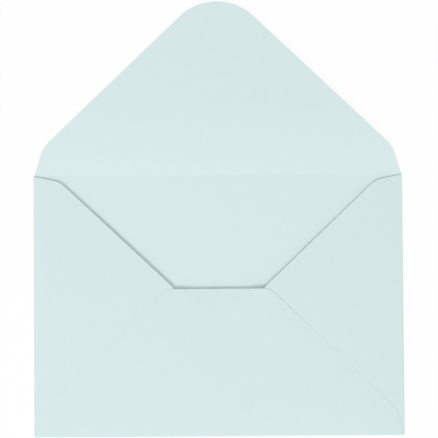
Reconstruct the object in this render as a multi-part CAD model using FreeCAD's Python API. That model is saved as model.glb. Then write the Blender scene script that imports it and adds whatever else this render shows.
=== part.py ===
import FreeCAD, Part
import math
import os

# An empty paper envelope, folded from one die-cut sheet and glued, lying with its flap open.
# Millimetres. +X runs along the envelope, +Y towards the open flap and +Z up.
# The origin is the middle of the front panel's outer face, which is what the envelope lies on.

# The sheet and its folds
paper = 0.15  # thickness of the sheet
fold_gap = 0.2  # clear space inside the side folds
corner_relief = 0.3  # how far each fold stops short of the body's corners
glue_bite = 0.02  # how far the glue presses the bottom flap into the side flaps

# The closed body, over its folds
body_width = 162.0
body_height = 114.5
pocket_rise = 0.5  # how far the back stands off at the middle of the top edge

# The top flap, measured from its fold
top_flap_height = 76.5
top_flap_tip_radius = 23.4
top_shoulder_inset = 4.1
top_shoulder_rise = 12.5
top_shoulder_radius = 14.0
top_flap_crest = 28.0  # how far from its fold the open flap is highest
top_flap_lift = 1.35  # and how far it has sprung up there
top_flap_tip_lift = 0.85  # how high its tip lies

# The bottom flap, measured from its fold
bottom_flap_height = 64.2
bottom_flap_top_width = 45.4  # between its two upper corners, before they are rounded
bottom_flap_top_radius = 8.0
bottom_shoulder_inset = 3.0
bottom_shoulder_rise = 11.0
bottom_shoulder_radius = 8.0

# The side flaps
glue_seam = 12.5  # width of the side flaps that lies under the bottom flap's slanting edges
side_flap_tip_radius = 12.0
side_shoulder_inset = 11.4
side_shoulder_drop = 2.65  # of the upper shoulder below the top fold
side_edge_slope = 0.946  # fall of the upper edge for each millimetre towards the middle
side_shoulder_radius = 10.0

# Fold lines and levels that follow from these sizes
side_fold_x = body_width / 2 - fold_gap / 2 - paper
bottom_fold_gap = fold_gap + paper - glue_bite
bottom_fold_y = -body_height / 2 + bottom_fold_gap / 2 + paper
top_fold_y = body_height / 2
side_flap_level = paper + fold_gap
bottom_flap_level = paper + bottom_fold_gap
stack_height = 2 * (bottom_flap_level + pocket_rise + top_flap_lift)

up = FreeCAD.Vector(0, 0, 1)
right = FreeCAD.Vector(1, 0, 0)
towards_flap = FreeCAD.Vector(0, 1, 0)


def at(x, y, z=0.0):
    return FreeCAD.Vector(x, y, z)


def face_of(edges):
    """The flat face inside a closed run of edges."""
    return Part.Face(Part.Wire(edges))


def line(start, end):
    return Part.LineSegment(start, end).toShape()


def arc(start, middle, end):
    return Part.Arc(start, middle, end).toShape()


def outline(corners):
    """Edges around corners given as (x, y, radius), with an arc at each corner that has a radius."""
    points = [at(x, y) for x, y, radius in corners]
    bends = []
    for index, point in enumerate(points):
        radius = corners[index][2]
        back = (points[index - 1] - point).normalize()
        forward = (points[(index + 1) % len(points)] - point).normalize()
        half_angle = back.getAngle(forward) / 2
        tangent = radius / math.tan(half_angle)
        depth = radius / math.sin(half_angle) - radius
        inward = (back + forward).normalize()
        bends.append((point + back * tangent, point + inward * depth, point + forward * tangent))
    edges = []
    for index, (start, middle, end) in enumerate(bends):
        if corners[index][2] > 0:
            edges.append(arc(start, middle, end))
        edges.append(line(end, bends[(index + 1) % len(bends)][0]))
    return edges


def cut_to(slab, corners):
    """The part of a slab that lies inside an outline, seen from above."""
    block = face_of(outline(corners)).extrude(up * stack_height)
    block.translate(up * -stack_height / 2)
    return slab.common(block)


def mirrored(corners):
    """A left-hand run of corners followed by its mirror image, which makes a flap's whole outline."""
    return corners + [(-x, y, radius) for x, y, radius in reversed(corners) if x != 0]


def fold(centre, outward, gap, run):
    """A half-round bend of the sheet around a gap, swept along run from centre."""
    inner = gap / 2
    outer = gap / 2 + paper
    section = [
        arc(centre - up * outer, centre + outward * outer, centre + up * outer),
        line(centre + up * outer, centre + up * inner),
        arc(centre + up * inner, centre + outward * inner, centre - up * inner),
        line(centre - up * inner, centre - up * outer),
    ]
    return face_of(section).extrude(run)


def back_slab(level):
    """A sheet over the whole body, at level on its three folds and domed up towards the open edge."""
    crown = 2 * pocket_rise
    surface = Part.BezierSurface()
    surface.increase(2, 2)
    for column, x in enumerate((-side_fold_x, 0, side_fold_x)):
        for row, y in enumerate((bottom_fold_y, (bottom_fold_y + top_fold_y) / 2, top_fold_y)):
            raised = column == 1 and row > 0
            surface.setPole(column + 1, row + 1, at(x, y, level + crown * raised))
    return surface.toShape().extrude(up * paper)


def front_panel():
    size = (2 * side_fold_x, top_fold_y - bottom_fold_y, paper)
    return Part.makeBox(*size, at(-side_fold_x, bottom_fold_y))


def bottom_edge_slope():
    """Rise of the bottom flap's slanting edges for each millimetre towards the middle."""
    run = side_fold_x - bottom_shoulder_inset - bottom_flap_top_width / 2
    return (bottom_flap_height - bottom_shoulder_rise) / run


def side_flap(side):
    """A side flap and its fold; side is -1 for the left one and 1 for the right one."""
    slope = bottom_edge_slope()
    # The lower edge is hidden: it runs along the bottom flap's edge, a glue seam further in
    seam_start = bottom_fold_y + bottom_shoulder_rise - bottom_shoulder_inset * slope
    low_start = seam_start - glue_seam * math.hypot(1, slope)
    top_start = top_fold_y - side_shoulder_drop + side_shoulder_inset * side_edge_slope
    point_inset = (top_start - low_start) / (slope + side_edge_slope)
    shoulder_x = side_fold_x - side_shoulder_inset
    low_y = bottom_fold_y + corner_relief
    high_y = top_fold_y - corner_relief
    corners = [
        (side * side_fold_x, low_y, 0),
        (side * shoulder_x, low_start + side_shoulder_inset * slope, side_shoulder_radius),
        (side * (side_fold_x - point_inset), low_start + point_inset * slope, side_flap_tip_radius),
        (side * shoulder_x, top_fold_y - side_shoulder_drop, side_shoulder_radius),
        (side * side_fold_x, high_y, 0),
    ]
    flap = cut_to(back_slab(side_flap_level), corners)
    centre = at(side * side_fold_x, low_y, paper + fold_gap / 2)
    return flap.fuse(fold(centre, right * side, fold_gap, towards_flap * (high_y - low_y)))


def bottom_flap():
    base_x = side_fold_x - corner_relief
    corners = mirrored([
        (-base_x, bottom_fold_y, 0),
        (-side_fold_x + bottom_shoulder_inset, bottom_fold_y + bottom_shoulder_rise, bottom_shoulder_radius),
        (-bottom_flap_top_width / 2, bottom_fold_y + bottom_flap_height, bottom_flap_top_radius),
    ])
    flap = cut_to(back_slab(bottom_flap_level), corners)
    centre = at(-base_x, bottom_fold_y, paper + bottom_fold_gap / 2)
    return flap.fuse(fold(centre, -towards_flap, bottom_fold_gap, right * 2 * base_x))


def top_flap():
    """The open flap: it springs up from its fold to its crest and runs on straight to its tip."""
    shoulder_x = side_fold_x - top_shoulder_inset
    tip_y = top_fold_y + top_flap_height
    # The straight edges run from the shoulders and touch the rounded tip
    rise = top_flap_height - top_flap_tip_radius - top_shoulder_rise
    slant = math.atan2(rise, shoulder_x) + math.asin(top_flap_tip_radius / math.hypot(rise, shoulder_x))
    point_y = top_fold_y + top_shoulder_rise + shoulder_x * math.tan(slant)
    corners = mirrored([
        (-side_fold_x, top_fold_y, 0),
        (-shoulder_x, top_fold_y + top_shoulder_rise, top_shoulder_radius),
        (0, point_y, top_flap_tip_radius),
    ])
    # The profile's arc is level at the crest, and its middle lies half_drop below that
    bend_radius = (top_flap_crest ** 2 + top_flap_lift ** 2) / (2 * top_flap_lift)
    half_run = top_flap_crest / 2
    half_drop = bend_radius - math.sqrt(bend_radius ** 2 - half_run ** 2)
    start = at(-side_fold_x, top_fold_y)
    middle = at(-side_fold_x, top_fold_y + half_run, top_flap_lift - half_drop)
    crest = at(-side_fold_x, top_fold_y + top_flap_crest, top_flap_lift)
    tip = at(-side_fold_x, tip_y, top_flap_tip_lift)
    profile = [
        arc(start, middle, crest),
        line(crest, tip),
        line(tip, tip + up * paper),
        line(tip + up * paper, crest + up * paper),
        arc(crest + up * paper, middle + up * paper, start + up * paper),
        line(start + up * paper, start),
    ]
    return cut_to(face_of(profile).extrude(right * 2 * side_fold_x), corners)


envelope = front_panel().fuse([side_flap(-1), side_flap(1), bottom_flap(), top_flap()])
envelope = envelope.removeSplitter()

os.makedirs("parts", exist_ok=True)
envelope.exportStep("parts/envelope.step")
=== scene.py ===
import math

import bmesh
import bpy
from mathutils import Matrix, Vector


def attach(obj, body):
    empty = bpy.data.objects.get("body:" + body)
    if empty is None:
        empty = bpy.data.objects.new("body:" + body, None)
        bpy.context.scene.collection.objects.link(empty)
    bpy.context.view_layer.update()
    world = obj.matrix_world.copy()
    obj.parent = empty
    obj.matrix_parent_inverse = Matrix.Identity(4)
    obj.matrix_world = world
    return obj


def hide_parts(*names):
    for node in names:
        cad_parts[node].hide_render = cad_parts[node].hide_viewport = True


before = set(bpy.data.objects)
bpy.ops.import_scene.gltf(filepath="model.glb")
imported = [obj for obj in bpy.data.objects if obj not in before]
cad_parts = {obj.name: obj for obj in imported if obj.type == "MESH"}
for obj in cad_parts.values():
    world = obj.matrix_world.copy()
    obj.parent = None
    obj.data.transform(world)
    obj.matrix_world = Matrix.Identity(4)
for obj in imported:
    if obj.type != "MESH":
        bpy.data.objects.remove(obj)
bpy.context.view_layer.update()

# An empty paper envelope, folded from one die-cut sheet, lying on its front with its flap open.
# Its blank is cut out flat, in millimetres, and each of its points is then folded into place.
# +X runs along the envelope, +Y towards the open flap and +Z up from the table.

MM = 0.001  # metres in a millimetre

# The sheet and its folds
paper = 0.15  # thickness of the sheet
fold_gap = 0.2  # clear space inside the side folds
glue_line = 0.01  # clear space between the bottom flap and the side flaps
corner_relief = 0.3  # how far each fold stops short of the body's corners

# The closed body, over its folds
body_width = 162.0
body_height = 114.5
pocket_rise = 0.5  # how far the back stands off at the middle of the top edge

# The back's flaps spring away from their folds
fold_spring = 0.18  # how high, over the distances that follow
left_spring_reach = 2.2
right_spring_reach = 4.0
bottom_spring_reach = 6.0

# The top flap, measured from its fold
top_flap_height = 76.5
top_flap_tip_radius = 23.4
top_shoulder_inset = 4.1
top_shoulder_rise = 12.5
top_shoulder_radius = 14.0
top_flap_slope = 0.095  # how steeply the open flap springs up from its fold
top_flap_crest = 28.0  # how far from the fold it is highest
top_flap_bend = 31.0  # how far from the fold it is bent. It runs on straight from there to its tip

# The bottom flap, measured from its fold
bottom_flap_height = 64.2
bottom_flap_top_width = 45.4  # between its two upper corners, before they are rounded
bottom_flap_top_radius = 8.0
bottom_shoulder_inset = 3.0
bottom_shoulder_rise = 11.0
bottom_shoulder_radius = 8.0

# The bottom flap sinks between the side flaps that it is glued to
flap_sag = 0.27
sag_start = 1.0  # how far past the side flaps' hidden edges it starts to sink
sag_reach = 4.6  # over what distance it then sinks, at the throat
sag_widening = 30.0  # and how much longer that distance is at its fold

# Its glued edges are pressed thinner, up to half its height
seam_press = 0.085
seam_press_reach = 10.0  # how far in from its edges the press reaches
seam_press_fade = 14.0  # the height above its fold under which the press is weaker

# The side flaps
glue_seam = 12.5  # width of the side flaps that lies under the bottom flap's slanting edges
side_flap_tip_radius = 12.0
side_shoulder_inset = 11.4
side_shoulder_drop = 2.65  # of the upper shoulder below the top fold
side_edge_slope = 0.946  # fall of the upper edge for each millimetre towards the middle
side_shoulder_radius = 10.0
throat_shift = 0.36  # how far to the right their points and their hidden edges lie
corner_press = 0.08  # how far the right side flap is pressed down in its top corner
corner_press_reach = 12.0

# The throat's right corner, where the bottom flap and the side flap under it rise together
throat_corner_x = 20.2
throat_corner_y = 7.3
throat_corner_rise = 0.25
throat_corner_width = 6.0
throat_corner_depth = 8.0

# How finely the blank is divided
grid = 2.4
beside_folds = (0.3, 0.6, 1.0, 1.5, 2.1, 2.8)  # from a fold line to the fine grid lines beside it
grid_margin = 3.6  # from a fold line to the even grid
side_bend_grid = 0.08
bottom_bend_grid = 0.1
throat_corner_grid = 0.5
throat_corner_columns = 4.0  # how far the finer grid reaches to the left and right of that corner
throat_corner_rows = 6.0  # and how far below it
corner_segments = 10
tip_segments = 24
cut_snap = 0.02  # how near a grid line has to pass a point to go through it
merge_distance = 0.005
sharpest_smooth_edge = math.radians(50)

# The map of the flat blank, which carries the paper's pattern
map_span = 320.0
map_middle = (0.5, 0.4)

# The paper's colours. The inner face is painted a little lighter than the outer face, as painted light on
# the inside and the open flap
outside_color = (0.669, 0.806, 0.808)
inside_color_painted_lighter = (0.684, 0.824, 0.825)
cut_edge_color = (0.69, 0.82, 0.82)
worn_color = (0.74, 0.84, 0.84, 1)
paper_roughness = 0.9

# The paper's pattern: sizes of its patches, and how much they change its colour and roughness
cloud_size = 5.0
cloud_shade = 0.02
cloud_roughness = 0.1
tooth_size = 0.25
tooth_shade = 0.12
fibre_size = 0.9
fibre_width = 0.025  # in values of the noise that the fibres follow
fibre_patch_size = 2.0
fibre_shade = 0.07
fibre_shine = 0.08
fibre_height = 0.5  # against the height of the tooth
relief = 0.03  # depth of the tooth
relief_strength = 0.5
crease_width = 0.5  # how far a fold's worn strip reaches from its middle
crease_patch_size = 0.6
crease_wear = 0.6

# The ends of the fibres along the cut edge
fibre_end_size = 0.08
fibre_end_darkest = 0.94
fibre_end_shade = 0.12
fibre_end_relief = 0.01
fibre_end_strength = 0.6
fibre_end_roughness = 0.1

# The table, which the camera sees nearly as plain white
table_reach = 2.5  # metres from its middle to its sides
table_drop = 0.02  # how far it lies under the envelope
table_color = (0.95, 0.95, 0.95, 1)
table_whiteness = 0.9
white = (1, 1, 1, 1)

# The lamp, in metres
lamp_share = 0.25  # its share of the light on the table. The rest comes evenly from all round
lamp_distance = 2.2
lamp_size = 0.76
lamp_elevation = math.radians(33)
lamp_azimuth = math.radians(240)

# The camera, which looks down on the envelope
camera_place = (2.457, 24.705, 534.561)
camera_turns = (1.4106, 0.2191, -0.4213)  # in degrees, about the three axes
camera_lens = 100
camera_sensor = 36
camera_near = 10.0  # nothing nearer than this is drawn

# Fold lines and bends that follow from these sizes, on the sheet's outer face
side_bend_radius = fold_gap / 2 + paper
bottom_bend_radius = (fold_gap + paper + glue_line) / 2 + paper
side_fold_x = body_width / 2 - side_bend_radius
bottom_fold_y = -body_height / 2 + bottom_bend_radius
top_fold_y = body_height / 2
side_bend = math.pi * side_bend_radius
bottom_bend = math.pi * bottom_bend_radius


def bottom_edge_slope():
    """Rise of the bottom flap's slanting edges for each millimetre towards the middle."""
    run = side_fold_x - bottom_shoulder_inset - bottom_flap_top_width / 2
    return (bottom_flap_height - bottom_shoulder_rise) / run


def top_flap_corners():
    """Half of the top flap's outline as (x, y, corner radius), from its fold to its tip."""
    shoulder_x = side_fold_x - top_shoulder_inset
    # The straight edges run from the shoulders and touch the rounded tip
    rise = top_flap_height - top_flap_tip_radius - top_shoulder_rise
    slant = math.atan2(rise, shoulder_x) + math.asin(top_flap_tip_radius / math.hypot(rise, shoulder_x))
    return [
        (side_fold_x, top_fold_y, 0),
        (shoulder_x, top_fold_y + top_shoulder_rise, top_shoulder_radius),
        (0, top_fold_y + top_shoulder_rise + shoulder_x * math.tan(slant), top_flap_tip_radius),
    ]


def side_flap_point():
    """Where a side flap's slanting edges meet: how far in from its fold, and how high up."""
    slope = bottom_edge_slope()
    # The lower edge is hidden: it runs along the bottom flap's edge, a glue seam further in
    seam_start = bottom_fold_y + bottom_shoulder_rise - bottom_shoulder_inset * slope
    hidden_start = seam_start - glue_seam * math.hypot(1, slope)
    top_start = top_fold_y - side_shoulder_drop + side_shoulder_inset * side_edge_slope
    inset = (top_start - hidden_start) / (slope + side_edge_slope)
    return inset, hidden_start + inset * slope


def side_flap_corners(side):
    """A side flap's outline on the flat blank, from the bottom of its fold to the top."""
    point_inset, point_y = side_flap_point()
    low_shoulder_y = point_y - (point_inset - side_shoulder_inset) * bottom_edge_slope()
    low_y = bottom_fold_y + corner_relief
    high_y = top_fold_y - corner_relief
    base_x = side_fold_x + side_bend
    shifted_x = base_x - side * throat_shift
    return [
        (side_fold_x, low_y, 0),
        (base_x, low_y, 0),
        (shifted_x + side_shoulder_inset, low_shoulder_y, side_shoulder_radius),
        (shifted_x + point_inset, point_y, side_flap_tip_radius),
        (base_x + side_shoulder_inset, top_fold_y - side_shoulder_drop, side_shoulder_radius),
        (base_x, high_y, 0),
        (side_fold_x, high_y, 0),
    ]


def bottom_flap_corners():
    """Half of the bottom flap's outline on the flat blank, from its free edge to its fold."""
    base_x = side_fold_x - corner_relief
    base_y = bottom_fold_y - bottom_bend
    return [
        (bottom_flap_top_width / 2, base_y - bottom_flap_height, bottom_flap_top_radius),
        (side_fold_x - bottom_shoulder_inset, base_y - bottom_shoulder_rise, bottom_shoulder_radius),
        (base_x, base_y, 0),
        (base_x, bottom_fold_y, 0),
        (side_fold_x, bottom_fold_y, 0),
    ]


def round_corner(bm, corner, radius, segments):
    """Rounds a corner of the flat blank, with a bevel that cuts as deep as an arc of the radius."""
    along = [(edge.other_vert(corner).co - corner.co).normalized() for edge in corner.link_edges]
    half_angle = along[0].angle(along[1]) / 2
    depth = radius / math.sin(half_angle) - radius
    # The curve of the bevel passes the corner at 2 - sqrt(2) of the distance at which its chord does
    offset = depth / (2 - math.sqrt(2)) / math.cos(half_angle)
    bmesh.ops.bevel(
        bm, geom=[corner], offset=offset, offset_type="OFFSET", segments=segments, profile=0.5,
        affect="VERTICES", material=-1, clamp_overlap=False,
    )


def spread(start, end, spacing):
    """Evenly spaced values from start to end."""
    count = math.ceil(abs(end - start) / spacing)
    return [start + (end - start) * index / count for index in range(count + 1)]


def grid_columns():
    """Where the blank is cut from top to bottom: on the side flaps as on the panel, finely by the folds."""
    columns = [side_fold_x - away for away in beside_folds]
    columns += spread(side_fold_x - grid_margin, 0, grid)
    left, right = throat_corner_x - throat_corner_columns, throat_corner_x + throat_corner_columns
    columns += spread(left, right, throat_corner_grid)
    columns += [2 * side_fold_x + side_bend - x for x in columns]
    columns += spread(side_fold_x, side_fold_x + side_bend, side_bend_grid)
    return columns + [-x for x in columns]


def grid_rows():
    """Where it is cut from side to side: on the bottom flap as on the panel, finely by the folds."""
    rows = [bottom_fold_y + away for away in beside_folds] + [top_fold_y - away for away in beside_folds]
    rows += spread(bottom_fold_y + grid_margin, top_fold_y - grid_margin, grid)
    rows += spread(throat_corner_y - throat_corner_rows, throat_corner_y, throat_corner_grid)
    rows += [2 * bottom_fold_y - bottom_bend - y for y in rows]
    rows += spread(bottom_fold_y, bottom_fold_y - bottom_bend, bottom_bend_grid)
    rows += [top_fold_y] + [top_fold_y + away for away in beside_folds]
    return rows + spread(top_fold_y + grid_margin, top_fold_y + top_flap_height, grid)


def half_outline(side):
    """The blank's corners on one side, from the bottom flap's free edge to the top flap's tip."""
    corners = bottom_flap_corners() + side_flap_corners(side) + top_flap_corners()
    return [(side * x, y, radius) for x, y, radius in corners]


def cut_blank():
    """The flat die-cut blank as a fine grid of faces, with its outer face down."""
    right = half_outline(1)
    # The tip lies on the middle and is in the right half already
    left = [corner for corner in reversed(half_outline(-1)) if corner[0] != 0]
    bm = bmesh.new()
    corners = [bm.verts.new((x, y, 0)) for x, y, radius in right + left]
    bm.faces.new(reversed(corners))
    for corner, (x, y, radius) in zip(corners, right + left):
        if radius:
            segments = tip_segments if radius == top_flap_tip_radius else corner_segments
            round_corner(bm, corner, radius, segments)
    for normal, places in (((1, 0, 0), grid_columns()), ((0, 1, 0), grid_rows())):
        for place in sorted(places):
            everything = bm.verts[:] + bm.edges[:] + bm.faces[:]
            point = Vector(normal) * place
            bmesh.ops.bisect_plane(bm, geom=everything, dist=cut_snap, plane_co=point, plane_no=normal)
    bmesh.ops.remove_doubles(bm, verts=bm.verts[:], dist=merge_distance)
    return bm


def eased(share):
    """0 up to a share of 0, 1 from a share of 1, and a smooth rise between them."""
    share = min(max(share, 0), 1)
    return share * share * (3 - 2 * share)


def throat_corner(x, y):
    """How far both flaps rise at the throat's right corner."""
    across = (x - throat_corner_x) / throat_corner_width
    along = (y - throat_corner_y) / throat_corner_depth
    return throat_corner_rise * math.exp(-math.hypot(across, along) ** 2)


def back_rise(x, y):
    """How far the back's flaps stand above their folds: they spring up, then dome towards the throat."""
    along = (y - bottom_fold_y) / (top_fold_y - bottom_fold_y)
    dome = pocket_rise * (1 - (x / side_fold_x) ** 2) * (2 * along - along ** 2)
    spring = fold_spring
    spring *= 1 - math.exp(-((side_fold_x + x) / left_spring_reach) ** 2)
    spring *= 1 - math.exp(-(side_fold_x - x) / right_spring_reach)
    spring *= 1 - math.exp(-(y - bottom_fold_y) / bottom_spring_reach)
    return dome + spring + throat_corner(x, y)


def bottom_flap_sag(x, y):
    """How far the bottom flap sinks between the side flaps that it is glued to."""
    point_inset, point_y = side_flap_point()
    slope = bottom_edge_slope() if y < point_y else side_edge_slope
    edge_x = side_fold_x - point_inset + abs(y - point_y) / slope
    past_edge = (edge_x - abs(x - throat_shift)) * slope / math.hypot(1, slope)
    above_fold = (y - bottom_fold_y) / bottom_flap_height
    reach = sag_reach + sag_widening * (1 - above_fold)
    return flap_sag * eased(above_fold) * eased((past_edge - sag_start) / reach)


def seam_sink(x, y):
    """How much thinner the bottom flap is pressed along its glued edges. It fades towards their ends."""
    slope = bottom_edge_slope()
    edge_y = bottom_fold_y + bottom_flap_height - (abs(x) - bottom_flap_top_width / 2) * slope
    inside = (edge_y - y) / math.hypot(1, slope)
    above_fold = y - bottom_fold_y
    ends = eased(2 - 2 * above_fold / bottom_flap_height) * eased(above_fold / seam_press_fade)
    return seam_press * ends * (1 - eased(inside / seam_press_reach))


def corner_sink(x, y):
    """How far the right side flap is pressed down towards its top corner, but not at its fold."""
    away = math.hypot(side_fold_x - x, top_fold_y - y)
    return corner_press * eased(2 - 2 * away / corner_press_reach) * eased(side_fold_x - x)


def top_flap_rise(run):
    """Height of the open top flap, a run away from its fold."""
    bending = min(run, top_flap_bend)
    end_slope = top_flap_slope - top_flap_slope * top_flap_bend / top_flap_crest
    return top_flap_slope * (bending - bending ** 2 / (2 * top_flap_crest)) + end_slope * (run - bending)


def bent(past, radius):
    """Where a point that far past a fold line goes: its reach outwards and its height."""
    angle = min(past / radius, math.pi)
    return radius * math.sin(angle) - max(past - math.pi * radius, 0), radius * (1 - math.cos(angle))


def folded(point):
    """The place of a point of the blank's outer face once the sheet is folded."""
    x, y, z = point
    side = math.copysign(1, x)
    if abs(x) > side_fold_x:
        reach, z = bent(abs(x) - side_fold_x, side_bend_radius)
        x = side * (side_fold_x + reach)
        if reach < 0:
            z += back_rise(x, y) - corner_sink(x, y)
    elif y < bottom_fold_y:
        reach, z = bent(bottom_fold_y - y, bottom_bend_radius)
        y = bottom_fold_y - reach
        if reach < 0:
            z += back_rise(x, y) - bottom_flap_sag(x, y)
    elif y > top_fold_y:
        z = top_flap_rise(y - top_fold_y)
    return x, y, z


def fold_sheet(bm):
    """Folds the flat blank, gives it its thickness, and sorts its faces by the side of the sheet."""
    bottom_flap = [vert for vert in bm.verts if vert.co.y < bottom_fold_y - bottom_bend]
    for vert in bm.verts:
        vert.co = folded(vert.co)
    bm.normal_update()
    outer = set(bm.verts)
    bmesh.ops.solidify(bm, geom=bm.faces[:], thickness=paper)
    for vert in bottom_flap:
        vert.co.z -= seam_sink(vert.co.x, vert.co.y)
    outside, inside, cut_edge = range(3)
    for face in bm.faces:
        on_outer = [vert in outer for vert in face.verts]
        face.smooth = True
        face.material_index = outside if all(on_outer) else cut_edge if any(on_outer) else inside
    for edge in bm.edges:
        edge.smooth = edge.calc_face_angle(0) < sharpest_smooth_edge


def make_envelope():
    """The whole envelope as one closed sheet, with its three finishes."""
    bm = cut_blank()
    flat_map = bm.loops.layers.uv.new("blank")
    for face in bm.faces:
        for loop in face.loops:
            loop[flat_map].uv = loop.vert.co.xy / map_span + Vector(map_middle)
    fold_sheet(bm)
    bmesh.ops.scale(bm, vec=(MM, MM, MM), verts=bm.verts)
    piece = add_mesh(bm, "envelope_sheet")
    piece.data.materials.append(paper_finish("paper_outside", outside_color))
    # The inner face's finish is painted a little lighter than the outer face's, as painted light
    piece.data.materials.append(paper_finish("paper_inside_painted_lighter", inside_color_painted_lighter))
    piece.data.materials.append(cut_edge_finish("cut_edge", cut_edge_color))
    return piece


def add_mesh(bm, name):
    """Puts a finished bmesh into the scene as an object."""
    mesh = bpy.data.meshes.new(name)
    bm.to_mesh(mesh)
    bm.free()
    piece = bpy.data.objects.new(name, mesh)
    bpy.context.scene.collection.objects.link(piece)
    return piece


class Socket:
    """A node's output. Arithmetic on it adds the Math nodes that it needs."""

    def __init__(self, tree, output):
        self.tree = tree
        self.output = output

    def math(self, operation, *values):
        return self.tree.add("ShaderNodeMath", {"operation": operation}, dict(enumerate(values)))

    def __add__(self, other):
        return self.math("ADD", self, other)

    def __sub__(self, other):
        return self.math("SUBTRACT", self, other)

    def __rsub__(self, other):
        return self.math("SUBTRACT", other, self)

    def __mul__(self, other):
        return self.math("MULTIPLY", self, other)

    def __abs__(self):
        return self.math("ABSOLUTE", self)

    __radd__ = __add__
    __rmul__ = __mul__


class Tree:
    """The nodes of one material, or of the world."""

    def __init__(self, owner):
        owner.use_nodes = True
        self.nodes = owner.node_tree.nodes
        self.links = owner.node_tree.links
        self.nodes.clear()

    def add(self, kind, settings=None, inputs=None, output=0):
        """Adds a node with its settings, fills its sockets with values or links and returns an output."""
        node = self.nodes.new(kind)
        for name, value in (settings or {}).items():
            setattr(node, name, value)
        for name, value in (inputs or {}).items():
            if isinstance(value, Socket):
                self.links.new(value.output, node.inputs[name])
            else:
                node.inputs[name].default_value = value
        return Socket(self, node.outputs[output]) if node.outputs else node


def grain(tree, place, size, detail=2.0, distortion=0.0):
    """Soft random values about a half, in patches of about that size."""
    inputs = {"Vector": place, "Scale": 1 / size, "Detail": detail, "Distortion": distortion}
    return tree.add("ShaderNodeTexNoise", {"noise_dimensions": "2D"}, inputs)


def near_zero(tree, value, reach):
    """1 where a value is zero, fading to 0 a reach away from it."""
    inputs = {"Value": abs(value), "From Min": 0.0, "From Max": reach, "To Min": 1.0, "To Max": 0.0}
    return tree.add("ShaderNodeMapRange", {"interpolation_type": "SMOOTHSTEP"}, inputs)


def creases(tree, place):
    """1 along the folds of the blank, 0 elsewhere."""
    parts = {"Vector": place}
    across = tree.add("ShaderNodeSeparateXYZ", inputs=parts, output="X")
    along = tree.add("ShaderNodeSeparateXYZ", inputs=parts, output="Y")
    sides = near_zero(tree, abs(across) - (side_fold_x + side_bend / 2), crease_width)
    bottom = near_zero(tree, along - (bottom_fold_y - bottom_bend / 2), crease_width)
    top = near_zero(tree, along - top_fold_y, crease_width / 2)
    return sides + bottom + top


def paper_finish(name, color):
    """Matte dyed paper: cloudy where its fibres bunch, finely grained, and paler along its creases."""
    material = bpy.data.materials.new(name)
    tree = Tree(material)
    flat = tree.add("ShaderNodeUVMap", {"uv_map": "blank"})
    shift = [-map_span * middle for middle in map_middle] + [0]
    stretch = [map_span] * 3
    place = tree.add("ShaderNodeMapping", inputs={"Vector": flat, "Location": shift, "Scale": stretch})
    clouds = grain(tree, place, cloud_size)
    tooth = grain(tree, place, tooth_size, detail=3.0)
    strands = grain(tree, place, fibre_size, detail=1.0, distortion=1.5) - 0.5
    fibres = near_zero(tree, strands, fibre_width) * grain(tree, place, fibre_patch_size)
    worn = creases(tree, place) * grain(tree, place, crease_patch_size) * crease_wear
    shade = 1 + (clouds - 0.5) * cloud_shade + (tooth - 0.5) * tooth_shade + fibres * fibre_shade
    dyed = tree.add("ShaderNodeVectorMath", {"operation": "SCALE"}, {0: color, "Scale": shade})
    # A Mix node for colours has its factor in socket 0, its colours in 6 and 7 and its result in 2
    pale = tree.add("ShaderNodeMix", {"data_type": "RGBA"}, {0: worn, 6: dyed, 7: worn_color}, 2)
    height = tooth + fibres * fibre_height
    bumps = {"Height": height, "Strength": relief_strength, "Distance": relief * MM}
    shader = tree.add("ShaderNodeBsdfPrincipled", inputs={
        "Base Color": pale,
        "Roughness": paper_roughness + (clouds - 0.5) * cloud_roughness - fibres * fibre_shine,
        "Normal": tree.add("ShaderNodeBump", inputs=bumps),
    })
    tree.add("ShaderNodeOutputMaterial", inputs={"Surface": shader})
    return material


def cut_edge_finish(name, color):
    """The sheet's cut edge: the same dyed paper, rough with the ends of its fibres."""
    material = bpy.data.materials.new(name)
    tree = Tree(material)
    place = tree.add("ShaderNodeTexCoord", output="Object")
    size = fibre_end_size * MM
    ends = tree.add("ShaderNodeTexNoise", inputs={"Vector": place, "Scale": 1 / size, "Detail": 2.0})
    shade = fibre_end_darkest + ends * fibre_end_shade
    dyed = tree.add("ShaderNodeVectorMath", {"operation": "SCALE"}, {0: color, "Scale": shade})
    bumps = {"Height": ends, "Strength": fibre_end_strength, "Distance": fibre_end_relief * MM}
    shader = tree.add("ShaderNodeBsdfPrincipled", inputs={
        "Base Color": dyed,
        "Roughness": paper_roughness + ends * fibre_end_roughness,
        "Normal": tree.add("ShaderNodeBump", inputs=bumps),
    })
    tree.add("ShaderNodeOutputMaterial", inputs={"Surface": shader})
    return material


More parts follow.
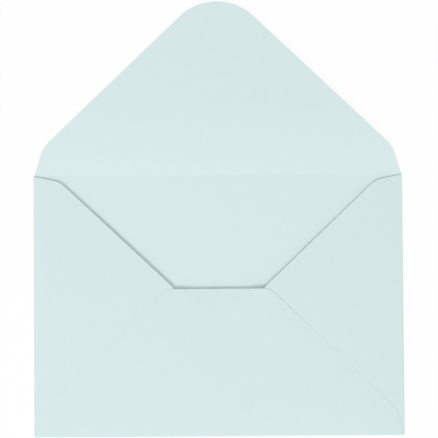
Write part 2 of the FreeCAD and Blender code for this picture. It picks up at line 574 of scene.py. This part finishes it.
def table_finish(name):
    """A white table that takes shadows, and that the camera sees nearly as plain white."""
    material = bpy.data.materials.new(name)
    tree = Tree(material)
    diffuse = tree.add("ShaderNodeBsdfDiffuse", inputs={"Color": table_color})
    glow = tree.add("ShaderNodeEmission", inputs={"Color": white, "Strength": 1.0})
    seen = tree.add("ShaderNodeLightPath", output="Is Camera Ray")
    both = tree.add("ShaderNodeMixShader", inputs={"Fac": seen * table_whiteness, 1: diffuse, 2: glow})
    tree.add("ShaderNodeOutputMaterial", inputs={"Surface": both})
    return material


def white_table():
    """The table that the envelope lies on, which is only its stage."""
    bm = bmesh.new()
    bmesh.ops.create_grid(bm, x_segments=1, y_segments=1, size=table_reach)
    bmesh.ops.translate(bm, vec=(0, 0, -table_drop * MM), verts=bm.verts)
    floor = add_mesh(bm, "floor")
    floor.data.materials.append(table_finish("white_floor"))


def light_scene():
    """A large soft lamp from the lower left, and even light from all round."""
    direction = Vector((
        math.cos(lamp_elevation) * math.cos(lamp_azimuth),
        math.cos(lamp_elevation) * math.sin(lamp_azimuth),
        math.sin(lamp_elevation),
    ))
    lamp = bpy.data.lights.new("key", "AREA")
    lamp.shape = "DISK"
    lamp.size = lamp_size
    # This power gives the level table just the lamp's share of the light
    lamp.energy = lamp_share * (math.pi * lamp_distance) ** 2 / math.sin(lamp_elevation)
    key = bpy.data.objects.new("key", lamp)
    key.location = direction * lamp_distance
    key.rotation_euler = direction.to_track_quat("Z", "Y").to_euler()
    bpy.context.scene.collection.objects.link(key)
    world = bpy.data.worlds.new("studio")
    bpy.context.scene.world = world
    tree = Tree(world)
    # The even light is weaker than the plain white that the camera sees all round the table
    seen = tree.add("ShaderNodeLightPath", output="Is Camera Ray")
    strength = (1 - lamp_share) + seen * lamp_share
    background = tree.add("ShaderNodeBackground", inputs={"Color": white, "Strength": strength})
    tree.add("ShaderNodeOutputWorld", inputs={"Surface": background})


def add_camera():
    """A camera that looks straight down, but for about a degree."""
    data = bpy.data.cameras.new("camera")
    data.lens = camera_lens
    data.sensor_width = camera_sensor
    data.clip_start = camera_near * MM
    camera = bpy.data.objects.new("camera", data)
    camera.location = [place * MM for place in camera_place]
    camera.rotation_euler = [math.radians(turn) for turn in camera_turns]
    bpy.context.scene.collection.objects.link(camera)
    bpy.context.scene.camera = camera


envelope = make_envelope()
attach(envelope, "root")
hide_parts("envelope")

white_table()
light_scene()
add_camera()
bpy.context.scene.view_settings.view_transform = "Standard"
